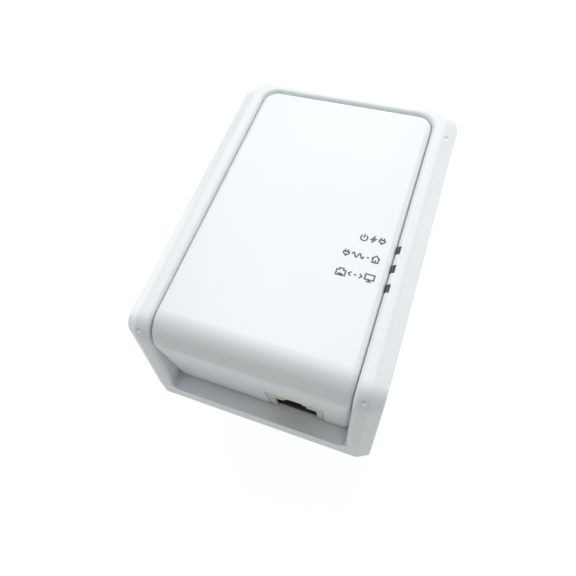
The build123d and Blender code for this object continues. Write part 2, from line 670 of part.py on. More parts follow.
with BuildPart() as jack_housing:
    block(
        (JACK_X - JACK_WIDTH / 2, BEZEL_BACK, JACK_LOW),
        (JACK_X + JACK_WIDTH / 2, JACK_BACK, MAIN_BOARD_LOW),
    )
    port_hole(PORT_LOW)
    block(
        (JACK_X - CHAMBER_WIDTH / 2, PORT_BACK - TINY, CONTACT_RISE[1] - CONTACT_SLOT),
        (JACK_X + CHAMBER_WIDTH / 2, CHAMBER_FRONT, CONTACT_RISE[1] + CONTACT_SLOT),
        Mode.SUBTRACT,
    )
    block(
        (JACK_X - CHAMBER_WIDTH / 2, CHAMBER_FRONT - TINY, PORT_LOW),
        (JACK_X + CHAMBER_WIDTH / 2, CHAMBER_BACK, MAIN_BOARD_LOW),
        Mode.SUBTRACT,
    )

with BuildPart() as jack_contacts:
    first_contact = JACK_X - (CONTACT_COUNT - 1) / 2 * CONTACT_PITCH - CONTACT_WIDTH / 2
    for contact in range(CONTACT_COUNT):
        with BuildSketch(Plane.YZ.offset(first_contact + contact * CONTACT_PITCH)):
            with BuildLine():
                Polyline(
                    CONTACT_TIP,
                    CONTACT_RISE,
                    (CONTACT_CORNER_Y, CONTACT_RISE[1]),
                    (CONTACT_CORNER_Y, MAIN_BOARD_LOW),
                )
            trace(line_width=CONTACT_THICKNESS)
        extrude(amount=CONTACT_WIDTH)
    with BuildSketch(Plane.XY.offset(MAIN_BOARD_LOW)):
        Rectangle(2 * FAR, 2 * FAR)
    extrude(amount=1, mode=Mode.SUBTRACT)

# ---- Signal parts on the main board ----
with BuildPart() as plc_chip:
    chip(PLC_CENTRE, PLC_SIZE, MAIN_BOARD_TOP)

with BuildPart() as thermal_pad:
    chip(PLC_CENTRE, PAD_SIZE, MAIN_BOARD_TOP + PLC_SIZE[2])

with BuildPart() as heat_sink:
    sink_low = MAIN_BOARD_TOP + PLC_SIZE[2] + PAD_SIZE[2]
    chip(PLC_CENTRE, SINK_SIZE, sink_low)
    fin_pitch = (SINK_SIZE[0] - SINK_FIN) / (SINK_FINS - 1)
    for fin in range(SINK_FINS):
        fin_x = PLC_CENTRE[0] + (fin - (SINK_FINS - 1) / 2) * fin_pitch
        chip((fin_x, PLC_CENTRE[1]), (SINK_FIN, SINK_SIZE[1], SINK_FIN_HEIGHT), sink_low + SINK_SIZE[2])

with BuildPart() as ethernet_chip:
    chip(ETHERNET_CENTRE, ETHERNET_SIZE, MAIN_BOARD_TOP)

with BuildPart() as memory_chip:
    chip(MEMORY_CENTRE, MEMORY_SIZE, MAIN_BOARD_TOP)

with BuildPart() as flash_chip:
    chip(FLASH_CENTRE, FLASH_SIZE, MAIN_BOARD_TOP)

with BuildPart() as crystal:
    with BuildSketch(Plane.XY.offset(MAIN_BOARD_TOP)):
        with Locations(CRYSTAL_CENTRE):
            SlotOverall(CRYSTAL_SIZE[0], CRYSTAL_SIZE[1])
    extrude(amount=CRYSTAL_SIZE[2])

with BuildPart() as ethernet_magnetics:
    chip(MAGNETICS_CENTRE, MAGNETICS_SIZE, MAIN_BOARD_TOP)

# ---- Mains parts on the power board ----
with BuildPart() as varistor:
    with BuildSketch(Plane.XZ.offset(-VARISTOR_AT[1])):
        with Locations((VARISTOR_AT[0], POWER_BOARD_TOP + DISC_CLEARANCE + VARISTOR_RADIUS)):
            Circle(VARISTOR_RADIUS)
    extrude(amount=VARISTOR_THICKNESS)
    fillet(varistor.edges().filter_by(GeomType.CIRCLE), VARISTOR_EDGE)

with BuildPart() as safety_capacitor:
    with BuildSketch(Plane.YZ.offset(DISC_CAPACITOR_AT[0])):
        with Locations((DISC_CAPACITOR_AT[1], POWER_BOARD_TOP + DISC_CLEARANCE + DISC_CAPACITOR_RADIUS)):
            Circle(DISC_CAPACITOR_RADIUS)
    extrude(amount=DISC_CAPACITOR_THICKNESS)
    fillet(safety_capacitor.edges().filter_by(GeomType.CIRCLE), DISC_CAPACITOR_EDGE)

with BuildPart() as fuse:
    posts([FUSE_CENTRE], FUSE_RADIUS, POWER_BOARD_TOP, POWER_BOARD_TOP + FUSE_HEIGHT)

with BuildPart() as bridge_rectifier:
    chip(BRIDGE_CENTRE, BRIDGE_SIZE, POWER_BOARD_TOP)

with BuildPart() as coupling_transformer:
    chip(COUPLER_CENTRE, COUPLER_SIZE, POWER_BOARD_TOP)

with BuildPart() as choke_core:
    posts([CHOKE_CENTRE], CHOKE_CORE[1], *CHOKE_CORE_Z)
    posts([CHOKE_CENTRE], CHOKE_CORE[0], *CHOKE_CORE_Z, Mode.SUBTRACT)

with BuildPart() as choke_winding:
    wire_z = (CHOKE_CORE_Z[0] - CHOKE_WIRE, CHOKE_CORE_Z[1] + CHOKE_WIRE)
    posts([CHOKE_CENTRE], CHOKE_CORE[1] + CHOKE_WIRE, *wire_z)
    posts([CHOKE_CENTRE], CHOKE_CORE[0] - CHOKE_WIRE, *wire_z, Mode.SUBTRACT)
    chip(CHOKE_CENTRE, (CHOKE_SPLIT, FAR, FAR), 0, Mode.SUBTRACT)
    add(choke_core.part, mode=Mode.SUBTRACT)

with BuildPart() as x_capacitor:
    chip(FILM_CAPACITOR_CENTRE, FILM_CAPACITOR_SIZE, POWER_BOARD_TOP)
    fillet(x_capacitor.edges().filter_by(Axis.Z), FILM_CAPACITOR_EDGE)

with BuildPart() as bulk_capacitor:
    posts([BULK_CENTRE], BULK_RADIUS, POWER_BOARD_TOP, POWER_BOARD_TOP + BULK_HEIGHT)
    fillet(bulk_capacitor.faces().sort_by(Axis.Z)[-1].edges(), CAN_EDGE)

with BuildPart() as output_capacitor:
    posts([OUTPUT_CENTRE], OUTPUT_RADIUS, POWER_BOARD_TOP, POWER_BOARD_TOP + OUTPUT_HEIGHT)
    fillet(output_capacitor.faces().sort_by(Axis.Z)[-1].edges(), CAN_EDGE)

with BuildPart() as output_diode:
    chip(DIODE_CENTRE, DIODE_SIZE, POWER_BOARD_TOP)

with BuildPart() as converter_chip:
    chip(CONVERTER_CENTRE, CONVERTER_SIZE, POWER_BOARD_TOP)

with BuildPart() as flyback_core:
    chip(FLYBACK_CENTRE, FLYBACK_CORE, POWER_BOARD_TOP)
    window_low = POWER_BOARD_TOP + (FLYBACK_CORE[2] - FLYBACK_WINDOW[1]) / 2
    for window_side in (-1, 1):
        window_x = FLYBACK_CENTRE[0] + window_side * (FLYBACK_LEG + FLYBACK_WINDOW[0]) / 2
        window_size = (FLYBACK_WINDOW[0], FAR, FLYBACK_WINDOW[1])
        chip((window_x, FLYBACK_CENTRE[1]), window_size, window_low, Mode.SUBTRACT)

with BuildPart() as flyback_winding:
    winding_low = window_low + (FLYBACK_WINDOW[1] - FLYBACK_WINDING[2]) / 2
    chip(FLYBACK_CENTRE, FLYBACK_WINDING, winding_low)
    fillet(flyback_winding.edges().filter_by(Axis.Z), WINDING_CORNER)
    chip(FLYBACK_CENTRE, (FLYBACK_LEG, FLYBACK_CORE[1], FAR), 0, Mode.SUBTRACT)

# ---- Plug ----
with BuildPart() as plug_base:
    posts([(0, 0)], BOSS_RADIUS, -BOSS_HEIGHT, 0)
    for notch_side in (-1, 1):
        guide_x = notch_side * (BOSS_RADIUS - GUIDE_NOTCH[1] / 2)
        guide_size = (GUIDE_NOTCH[1], GUIDE_NOTCH[0], BOSS_HEIGHT)
        chip((guide_x, 0), guide_size, -BOSS_HEIGHT, Mode.SUBTRACT)
        clip_y = notch_side * (BOSS_RADIUS - CLIP_NOTCH[1] / 2)
        clip_size = (CLIP_NOTCH[0], CLIP_NOTCH[1], BOSS_HEIGHT)
        chip((0, clip_y), clip_size, -BOSS_HEIGHT, Mode.SUBTRACT)
    chamfer(plug_base.faces().sort_by(Axis.Z)[0].edges(), BOSS_EDGE)
    with BuildSketch() as neck:
        RectangleRounded(*NECK, NECK_CORNER)
    extrude(neck.sketch, amount=WALL)
    with BuildSketch(Plane.XY.offset(BOSS_FLOOR - BOSS_HEIGHT)) as hollow:
        RectangleRounded(*HOLLOW, HOLLOW_CORNER)
    extrude(hollow.sketch, amount=BOSS_HEIGHT, mode=Mode.SUBTRACT)
    pin_places = [(-PIN_SPACING / 2, 0), (PIN_SPACING / 2, 0)]
    posts(pin_places, PIN_ROOT_RADIUS + PIN_GAP, -BOSS_HEIGHT, 0, Mode.SUBTRACT)
    screw_places = [(0, -PLUG_SCREW_Y), (0, PLUG_SCREW_Y)]
    posts(screw_places, PLUG_SCREW_RADIUS + PIN_GAP, -PLUG_SCREW_DEPTH, 0, Mode.SUBTRACT)


def plug_pin(x):
    """A round contact pin: bare rod outside, thinner root in the boss, and a riveted tail inside."""
    floor_inside = BOSS_FLOOR - BOSS_HEIGHT
    with BuildPart() as pin:
        posts([(x, 0)], PIN_RADIUS, -BOSS_HEIGHT - PIN_LENGTH, -BOSS_HEIGHT)
        fillet(pin.faces().sort_by(Axis.Z)[0].edges(), PIN_TIP)
        posts([(x, 0)], PIN_ROOT_RADIUS, -BOSS_HEIGHT, floor_inside)
        posts([(x, 0)], PIN_TAIL_RADIUS, floor_inside, floor_inside + PIN_TAIL)
    return pin


def contact_strip(side):
    """A brass strip from a pin's tail up to the power board."""
    x = side * PIN_SPACING / 2
    pad_low = BOSS_FLOOR - BOSS_HEIGHT
    leg_x = x - side * (STRIP_PAD - STRIP_THICKNESS) / 2
    with BuildPart() as strip:
        chip((x, 0), (STRIP_PAD, STRIP_PAD, STRIP_THICKNESS), pad_low)
        posts([(x, 0)], PIN_TAIL_RADIUS + PIN_GAP, pad_low, 0, Mode.SUBTRACT)
        leg_size = (STRIP_THICKNESS, STRIP_WIDTH, POWER_BOARD_LOW - pad_low)
        chip((leg_x, 0), leg_size, pad_low)
    return strip


plug_pin_left = plug_pin(-PIN_SPACING / 2)
plug_pin_right = plug_pin(PIN_SPACING / 2)
contact_strip_left = contact_strip(-1)
contact_strip_right = contact_strip(1)

# ---- Screws ----
with BuildPart() as housing_screws:
    head_low = HOUSING_HEAD_SEAT - HOUSING_HEAD_HEIGHT
    posts(HOUSING_SCREWS, HOUSING_HEAD_RADIUS, head_low, HOUSING_HEAD_SEAT)
    posts(HOUSING_SCREWS, HOUSING_SCREW_RADIUS, HOUSING_HEAD_SEAT, HOUSING_SCREW_TIP)
    screw_slots(HOUSING_SCREWS, HOUSING_HEAD_RADIUS, head_low, 1)

with BuildPart() as main_board_screws:
    main_grip = MAIN_BOARD_LOW + BOARD + BOARD_SCREW_GRIP
    posts(MAIN_SCREWS, BOARD_HEAD_RADIUS, MAIN_BOARD_LOW - BOARD_HEAD_HEIGHT, MAIN_BOARD_LOW)
    posts(MAIN_SCREWS, BOARD_SCREW_RADIUS - PIN_GAP, MAIN_BOARD_LOW, main_grip)
    screw_slots(MAIN_SCREWS, BOARD_HEAD_RADIUS, MAIN_BOARD_LOW - BOARD_HEAD_HEIGHT, 1)

with BuildPart() as power_board_screws:
    power_grip = POWER_BOARD_LOW - BOARD_SCREW_GRIP
    head_top = POWER_BOARD_TOP + BOARD_HEAD_HEIGHT
    posts(POWER_SCREWS, BOARD_HEAD_RADIUS, POWER_BOARD_TOP, head_top)
    posts(POWER_SCREWS, BOARD_SCREW_RADIUS - PIN_GAP, power_grip, POWER_BOARD_TOP)
    screw_slots(POWER_SCREWS, BOARD_HEAD_RADIUS, head_top, -1)

with BuildPart() as plug_base_screws:
    plug_head_top = WALL + BOARD_HEAD_HEIGHT
    posts(screw_places, PLUG_SCREW_HEAD, WALL, plug_head_top)
    posts(screw_places, PLUG_SCREW_RADIUS, PILOT_DEPTH - PLUG_SCREW_DEPTH, WALL)
    screw_slots(screw_places, PLUG_SCREW_HEAD, plug_head_top, -1)

# ---- Blank rating label ----
with BuildPart() as rating_label:
    with BuildSketch(Plane.XY.offset(LABEL_INSET)):
        with Locations((0, LABEL_Y)):
            label_size = [side - 2 * LABEL_GAP for side in LABEL_SIZE]
            RectangleRounded(*label_size, LABEL_CORNER - LABEL_GAP)
    extrude(amount=LABEL_RECESS - LABEL_INSET)

# ---- Export ----
pieces = {
    "rear_shell": rear_shell,
    "front_frame": front_frame,
    "front_cover": front_cover,
    "pair_button": pair_button,
    "switch_plunger": switch_plunger,
    "switch_body": switch_body,
    "header_block": header_block,
    "header_pins": header_pins,
    "main_pcb": main_pcb,
    "power_pcb": power_pcb,
    "insulation_sheet": insulation_sheet,
    "jack_bezel": jack_bezel,
    "jack_housing": jack_housing,
    "jack_contacts": jack_contacts,
    "plc_chip": plc_chip,
    "thermal_pad": thermal_pad,
    "heat_sink": heat_sink,
    "ethernet_chip": ethernet_chip,
    "memory_chip": memory_chip,
    "flash_chip": flash_chip,
    "crystal": crystal,
    "ethernet_magnetics": ethernet_magnetics,
    "varistor": varistor,
    "fuse": fuse,
    "bridge_rectifier": bridge_rectifier,
    "coupling_transformer": coupling_transformer,
    "safety_capacitor": safety_capacitor,
    "choke_core": choke_core,
    "choke_winding": choke_winding,
    "x_capacitor": x_capacitor,
    "bulk_capacitor": bulk_capacitor,
    "output_capacitor": output_capacitor,
    "output_diode": output_diode,
    "converter_chip": converter_chip,
    "flyback_core": flyback_core,
    "flyback_winding": flyback_winding,
    "plug_base": plug_base,
    "plug_pin_left": plug_pin_left,
    "plug_pin_right": plug_pin_right,
    "contact_strip_left": contact_strip_left,
    "contact_strip_right": contact_strip_right,
    "housing_screws": housing_screws,
    "main_board_screws": main_board_screws,
    "power_board_screws": power_board_screws,
    "plug_base_screws": plug_base_screws,
    "rating_label": rating_label,
}
for purpose in INDICATORS:
    pieces[f"led_lens_{purpose}"] = lenses[purpose]
    pieces[f"led_{purpose}"] = leds[purpose]

os.makedirs("parts", exist_ok=True)
for name, piece in pieces.items():
    piece.part.label = name
    export_step(piece.part, f"parts/{name}.step")
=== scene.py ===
import json
import math

import bmesh
import bpy
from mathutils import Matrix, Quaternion, Vector


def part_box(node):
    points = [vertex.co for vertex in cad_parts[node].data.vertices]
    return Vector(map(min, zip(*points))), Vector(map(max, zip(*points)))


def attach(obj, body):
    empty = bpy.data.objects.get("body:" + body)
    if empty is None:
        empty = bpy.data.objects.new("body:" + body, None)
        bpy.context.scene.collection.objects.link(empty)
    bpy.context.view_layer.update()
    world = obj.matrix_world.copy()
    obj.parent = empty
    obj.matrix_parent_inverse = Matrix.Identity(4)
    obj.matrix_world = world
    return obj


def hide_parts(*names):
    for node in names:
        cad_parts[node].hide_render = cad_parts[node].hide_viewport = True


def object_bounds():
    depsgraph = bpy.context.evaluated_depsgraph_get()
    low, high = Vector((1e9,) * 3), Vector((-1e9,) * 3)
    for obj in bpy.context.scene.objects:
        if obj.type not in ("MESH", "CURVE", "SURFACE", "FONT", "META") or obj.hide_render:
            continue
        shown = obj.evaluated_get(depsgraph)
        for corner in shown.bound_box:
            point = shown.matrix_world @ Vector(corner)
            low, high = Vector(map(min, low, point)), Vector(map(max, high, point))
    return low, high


# The looks of the powerline adapter: materials for its CAD nodes, and the fine pieces that CAD leaves out
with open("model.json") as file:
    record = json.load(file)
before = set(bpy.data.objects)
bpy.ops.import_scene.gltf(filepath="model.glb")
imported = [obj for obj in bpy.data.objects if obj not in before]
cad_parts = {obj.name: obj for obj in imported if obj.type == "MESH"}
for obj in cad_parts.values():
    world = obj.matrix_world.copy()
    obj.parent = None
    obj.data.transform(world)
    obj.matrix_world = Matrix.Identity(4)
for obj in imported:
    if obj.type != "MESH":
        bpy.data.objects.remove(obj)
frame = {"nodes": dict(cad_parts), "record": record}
cad_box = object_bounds()
nodes = frame["nodes"]
MM = 0.001
HOUSING = "housing"  # the body that every added piece rides on

# ---- Camera ----
CAMERA_AT = Vector((31.6, -68.55, 140.4)) * MM
CAMERA_AIM = Vector((1.88, -19.53, 30.0)) * MM
CAMERA_ROLL = math.radians(-13.03)
CAMERA_LENS = 29.07  # mm, on a sensor of SENSOR_WIDTH
SENSOR_WIDTH = 36.0
CLIP_NEAR, CLIP_FAR = 0.001, 20.0  # metres

camera_data = bpy.data.cameras.new("camera")
camera_data.lens = CAMERA_LENS
camera_data.sensor_width = SENSOR_WIDTH
camera_data.clip_start = CLIP_NEAR
camera_data.clip_end = CLIP_FAR
camera = bpy.data.objects.new("camera", camera_data)
bpy.context.scene.collection.objects.link(camera)
camera.location = CAMERA_AT
camera.rotation_mode = "QUATERNION"
straight = (CAMERA_AIM - CAMERA_AT).to_track_quat("-Z", "Y")
camera.rotation_quaternion = straight @ Quaternion((0, 0, 1), CAMERA_ROLL)
bpy.context.scene.camera = camera
bpy.context.scene.view_settings.view_transform = "Standard"

# ---- Materials ----
BUMP_DEPTH = 0.02 * MM
MOTTLE_SCALE = 45.0  # noise scales are in object space, so per metre
MOTTLE_STOPS = (0.3, 0.7)
NOISE_DETAIL = 3.0
GRAIN_ROUGHNESS = 0.6
GLOSS_SPREAD = 0.15  # share of the roughness, each way


def new_material(name):
    """A new node material, with its node tree and its shader."""
    material = bpy.data.materials.new(name)
    material.use_nodes = True
    tree = material.node_tree
    shader = next(n for n in tree.nodes if n.type == "BSDF_PRINCIPLED")
    return material, tree, shader


def noise(tree, scale, detail=4.0, rough=0.5):
    """A noise texture, its scale per metre of the object."""
    place = tree.nodes.new("ShaderNodeTexCoord")
    texture = tree.nodes.new("ShaderNodeTexNoise")
    texture.inputs["Scale"].default_value = scale
    texture.inputs["Detail"].default_value = detail
    texture.inputs["Roughness"].default_value = rough
    tree.links.new(place.outputs["Object"], texture.inputs["Vector"])
    return texture.outputs["Fac"]


def ramp(tree, factor, stops):
    """A colour ramp through (position, colour) stops."""
    node = tree.nodes.new("ShaderNodeValToRGB")
    elements = node.color_ramp.elements
    while len(elements) < len(stops):
        elements.new(0.5)
    for element, (position, colour) in zip(elements, stops):
        element.position = position
        element.color = (*colour, 1.0)
    tree.links.new(factor, node.inputs["Fac"])
    return node.outputs["Color"]


def spread(tree, factor, low, high):
    """A 0 to 1 factor, mapped to low to high."""
    node = tree.nodes.new("ShaderNodeMapRange")
    node.inputs["To Min"].default_value = low
    node.inputs["To Max"].default_value = high
    tree.links.new(factor, node.inputs["Value"])
    return node.outputs["Result"]


def bump(tree, shader, height, strength, distance):
    """Bumps the shader's surface by a height field."""
    node = tree.nodes.new("ShaderNodeBump")
    node.inputs["Strength"].default_value = strength
    node.inputs["Distance"].default_value = distance
    tree.links.new(height, node.inputs["Height"])
    tree.links.new(node.outputs["Normal"], shader.inputs["Normal"])


def shade(colour, factor):
    """A colour made lighter or darker."""
    return tuple(min(1.0, channel * factor) for channel in colour)


def surface(name, colour, roughness, metallic=0.0, grain=1800.0, mottle=0.03, relief=0.08, coat=0.0):
    """A moulded, plated or painted surface: faint mottling, uneven gloss and a fine grain."""
    material, tree, shader = new_material(name)
    broad = noise(tree, MOTTLE_SCALE, NOISE_DETAIL)
    fine = noise(tree, grain, NOISE_DETAIL, GRAIN_ROUGHNESS)
    shades = [shade(colour, 1 - mottle), shade(colour, 1 + mottle)]
    tree.links.new(ramp(tree, broad, list(zip(MOTTLE_STOPS, shades))), shader.inputs["Base Color"])
    gloss = spread(tree, fine, roughness * (1 - GLOSS_SPREAD), min(1.0, roughness * (1 + GLOSS_SPREAD)))
    tree.links.new(gloss, shader.inputs["Roughness"])
    bump(tree, shader, fine, relief, BUMP_DEPTH)
    shader.inputs["Metallic"].default_value = metallic
    shader.inputs["Coat Weight"].default_value = coat
    return material


BOARD_GREEN = (0.02, 0.13, 0.055)
TRACE_GREEN = (0.035, 0.2, 0.085)
TRACE_PATCH = 110.0  # patches of traces in a metre
TRACES_IN_PATCH = 7.0
TRACE_EDGES = (0.3, 0.36, 0.64, 0.7)  # where a trace rises and falls, as shares of the pitch
TRACE_RELIEF = 0.3
LACQUER_GRAIN = 900.0
LACQUER_ROUGHNESS = (0.28, 0.38)


def across_trace(outside, inside):
    """Ramp stops from one side of a trace to the other."""
    return list(zip(TRACE_EDGES, (outside, inside, inside, outside)))


def board_surface(name):
    """A lacquered circuit board: patches of slanting copper traces that show through the green."""
    material, tree, shader = new_material(name)
    place = tree.nodes.new("ShaderNodeTexCoord")
    patches = tree.nodes.new("ShaderNodeTexVoronoi")
    patches.distance = "MANHATTAN"
    patches.inputs["Scale"].default_value = TRACE_PATCH
    tree.links.new(place.outputs["Object"], patches.inputs["Vector"])
    count = tree.nodes.new("ShaderNodeMath")
    count.operation = "MULTIPLY"
    count.inputs[1].default_value = TRACES_IN_PATCH
    tree.links.new(patches.outputs["Distance"], count.inputs[0])
    repeat = tree.nodes.new("ShaderNodeMath")
    repeat.operation = "FRACT"
    tree.links.new(count.outputs["Value"], repeat.inputs[0])
    traces = repeat.outputs["Value"]
    green = ramp(tree, traces, across_trace(BOARD_GREEN, TRACE_GREEN))
    tree.links.new(green, shader.inputs["Base Color"])
    gloss = spread(tree, noise(tree, LACQUER_GRAIN), *LACQUER_ROUGHNESS)
    tree.links.new(gloss, shader.inputs["Roughness"])
    relief = ramp(tree, traces, across_trace((0, 0, 0), (1, 1, 1)))
    bump(tree, shader, relief, TRACE_RELIEF, BUMP_DEPTH)
    return material


WHITE = (0.72, 0.755, 0.765)
COVER_WHITE = shade(WHITE, 1.02)
materials = {
    "housing_plastic": surface("housing_plastic", WHITE, 0.38, grain=2600.0, mottle=0.006, relief=0.05),
    "cover_plastic": surface("cover_plastic", COVER_WHITE, 0.33, grain=2600.0, mottle=0.005, relief=0.04),
    "button_plastic": surface("button_plastic", (0.42, 0.44, 0.45), 0.5, grain=3000.0, relief=0.12),
    "black_plastic": surface("black_plastic", (0.02, 0.02, 0.022), 0.45, relief=0.15),
    "gold_contacts": surface("gold_contacts", (0.83, 0.6, 0.24), 0.25, metallic=1.0, grain=4000.0),
    "circuit_board": board_surface("circuit_board"),
    "insulation_film": surface("insulation_film", (0.7, 0.66, 0.5), 0.3, mottle=0.06),
    "jack_plastic": surface("jack_plastic", (0.56, 0.6, 0.48), 0.4, relief=0.1),
    "chip_epoxy": surface("chip_epoxy", (0.018, 0.018, 0.02), 0.6, grain=5000.0, relief=0.25),
    "thermal_rubber": surface("thermal_rubber", (0.25, 0.36, 0.52), 0.75, relief=0.3),
    "sink_aluminium": surface("sink_aluminium", (0.6, 0.61, 0.63), 0.35, metallic=1.0),
    "can_steel": surface("can_steel", (0.68, 0.68, 0.68), 0.25, metallic=1.0),
    "blue_coating": surface("blue_coating", (0.03, 0.1, 0.36), 0.2, coat=0.4),
    "bobbin_plastic": surface("bobbin_plastic", (0.04, 0.04, 0.04), 0.5),
    "ferrite": surface("ferrite", (0.05, 0.05, 0.055), 0.65, grain=2500.0, relief=0.4),
    "copper_wire": surface("copper_wire", (0.62, 0.24, 0.08), 0.25, metallic=0.9),
    "capacitor_box": surface("capacitor_box", (0.68, 0.5, 0.05), 0.35),
    "capacitor_sleeve": surface("capacitor_sleeve", (0.02, 0.03, 0.07), 0.25),
    "winding_tape": surface("winding_tape", (0.75, 0.6, 0.06), 0.3, mottle=0.06),
    "pin_metal": surface("pin_metal", (0.6, 0.58, 0.55), 0.2, metallic=1.0, grain=900.0, mottle=0.05),
    "strip_brass": surface("strip_brass", (0.78, 0.57, 0.22), 0.3, metallic=1.0),
    "screw_steel": surface("screw_steel", (0.55, 0.56, 0.57), 0.3, metallic=1.0, grain=1500.0, relief=0.2),
    "label_film": surface("label_film", (0.62, 0.63, 0.64), 0.3, metallic=0.3),
    "lens_plastic": surface("lens_plastic", (0.06, 0.065, 0.065), 0.15, coat=0.5),
    "led_body": surface("led_body", (0.8, 0.8, 0.72), 0.25),
    # Darker metal for the pressed cross on the can tops: painted shade that stands in for the shade in the
    # cross's grooves
    "score_painted_shade": surface("score_painted_shade", (0.2, 0.2, 0.21), 0.45, metallic=0.8),
    "stripe_ink": surface("stripe_ink", (0.5, 0.53, 0.56), 0.3, mottle=0.05),
    "print_ink": surface("print_ink", (0.1, 0.11, 0.12), 0.5, grain=6000.0, mottle=0.12),
}

for part in frame["record"]["subparts"]:
    node = nodes[part["node"]]
    node.data.materials.clear()
    node.data.materials.append(materials[part["material_slot"]])

# ---- Shapes made of strokes and wires ----
MITRE_LIMIT = 0.5  # the least cosine used at a corner, so that a sharp one doesn't reach far out


def add_piece(name, mesh, slot, material=None, smooth=False):
    """A closed mesh as a piece of the object, in one of the record's finishes or in its own material."""
    mesh_data = bpy.data.meshes.new(name)
    bmesh.ops.recalc_face_normals(mesh, faces=mesh.faces)
    mesh.to_mesh(mesh_data)
    mesh.free()
    piece = bpy.data.objects.new(name, mesh_data)
    bpy.context.scene.collection.objects.link(piece)
    for face in mesh_data.polygons:
        face.use_smooth = smooth
    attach(piece, HOUSING)
    mesh_data.materials.append(material or materials[slot])
    return piece


def strip(mesh, left, right, low, high, closed):
    """A flat ribbon between two rows of plan points, from height low to high."""
    rings = []
    for a, b in zip(left, right):
        corners = ((a[0], a[1], low), (b[0], b[1], low), (b[0], b[1], high), (a[0], a[1], high))
        rings.append([mesh.verts.new(corner) for corner in corners])
    join_rings(mesh, rings, closed)


def join_rings(mesh, rings, closed):
    """Skins a row of rings of points, and caps the ends of an open row."""
    count = len(rings[0])
    pairs = list(zip(rings, rings[1:]))
    if closed:
        pairs.append((rings[-1], rings[0]))
    for first, second in pairs:
        for k in range(count):
            n = (k + 1) % count
            mesh.faces.new((first[k], first[n], second[n], second[k]))
    if not closed:
        mesh.faces.new(rings[0][::-1])
        mesh.faces.new(rings[-1])


def stroke(mesh, points, width, low, high, closed=False):
    """A flat line of one width through plan points, with mitred corners."""
    count = len(points)
    left, right = [], []
    for k, point in enumerate(points):
        here = Vector(point)
        before = Vector(points[k - 1]) if closed or k > 0 else None
        after = Vector(points[(k + 1) % count]) if closed or k < count - 1 else None
        ways = []
        if before is not None:
            ways.append((here - before).normalized())
        if after is not None:
            ways.append((after - here).normalized())
        middle = sum(ways, Vector((0, 0))).normalized()
        side = Vector((-middle.y, middle.x))
        reach = width / 2 / max(MITRE_LIMIT, abs(middle.dot(ways[0])))
        left.append(here + side * reach)
        right.append(here - side * reach)
    strip(mesh, left, right, low, high, closed)


def arc(centre, radius, start, end, steps=20):
    """Plan points along an arc, angles in degrees."""
    turns = [math.radians(start + (end - start) * k / steps) for k in range(steps + 1)]
    return [(centre[0] + radius * math.cos(t), centre[1] + radius * math.sin(t)) for t in turns]


def wave(start, length, height, swings, steps=32):
    """Plan points along a sine wave, half way up a sign."""
    shares = [k / steps for k in range(steps + 1)]
    return [(start + t * length, 0.5 + height / 2 * math.sin(2 * math.pi * swings * t)) for t in shares]


# Each sign is its length, then its lines as (points, closed). It is 1 unit high, drawn from x = 0.
SIGNS = {
    "ring": (1.0, [(arc((0.5, 0.45), 0.42, 125, 415), False), ([(0.5, 0.45), (0.5, 1.0)], False)]),
    "bolt": (0.7, [([(0.45, 1.0), (0.06, 0.42), (0.34, 0.42), (0.25, 0.0), (0.66, 0.6), (0.38, 0.6)], True)]),
    "plug": (
        0.8,
        [
            ([(0.05, 0.65), (0.75, 0.65), (0.75, 0.42), (0.55, 0.25), (0.25, 0.25), (0.05, 0.42)], True),
            ([(0.22, 0.65), (0.22, 1.0)], False),
            ([(0.58, 0.65), (0.58, 1.0)], False),
            ([(0.4, 0.25), (0.4, 0.0)], False),
        ],
    ),
    "wave": (1.5, [(wave(0.0, 1.5, 0.6, 2), False)]),
    "house": (
        1.0,
        [
            ([(0.0, 0.55), (0.5, 1.0), (1.0, 0.55)], False),
            ([(0.15, 0.6), (0.15, 0.04), (0.85, 0.04), (0.85, 0.6)], False),
            ([(0.5, 0.04), (0.5, 0.4)], False),
        ],
    ),
    "port": (
        1.1,
        [
            (
                [(0.0, 0.0), (1.1, 0.0), (1.1, 0.72), (0.8, 0.72)]
                + [(0.8, 0.95), (0.3, 0.95), (0.3, 0.72), (0.0, 0.72)],
                True,
            ),
            ([(0.35, 0.0), (0.35, 0.3)], False),
            ([(0.55, 0.0), (0.55, 0.3)], False),
            ([(0.75, 0.0), (0.75, 0.3)], False),
        ],
    ),
    "left": (0.4, [([(0.35, 0.8), (0.05, 0.5), (0.35, 0.2)], False)]),
    "right": (0.4, [([(0.05, 0.8), (0.35, 0.5), (0.05, 0.2)], False)]),
    "dash": (0.3, [([(0.0, 0.5), (0.3, 0.5)], False)]),
    "screen": (
        1.1,
        [
            ([(0.0, 0.3), (1.1, 0.3), (1.1, 1.0), (0.0, 1.0)], True),
            ([(0.55, 0.3), (0.55, 0.05)], False),
            ([(0.25, 0.03), (0.85, 0.03)], False),
        ],
    ),
    "double_square": (
        1.0,
        [
            ([(0.0, 0.0), (1.0, 0.0), (1.0, 1.0), (0.0, 1.0)], True),
            ([(0.28, 0.28), (0.72, 0.28), (0.72, 0.72), (0.28, 0.72)], True),
        ],
    ),
}
SIGN_GAP = 0.32  # between the signs of a row, in the same units


def row_length(names):
    """Length of a row of signs in their own units."""
    return sum(SIGNS[name][0] for name in names) + SIGN_GAP * (len(names) - 1)


def sign_row(mesh, names, right, base, height, width, low, high, mirror=1):
    """A row of signs that ends at x = right as it is read, and stands on y = base, all in metres."""
    start = -row_length(names)
    for name in names:
        length, lines = SIGNS[name]
        for points, closed in lines:
            spots = [(right + mirror * (start + x) * height, base + y * height) for x, y in points]
            stroke(mesh, spots, width, low, high, closed)
        start += length + SIGN_GAP


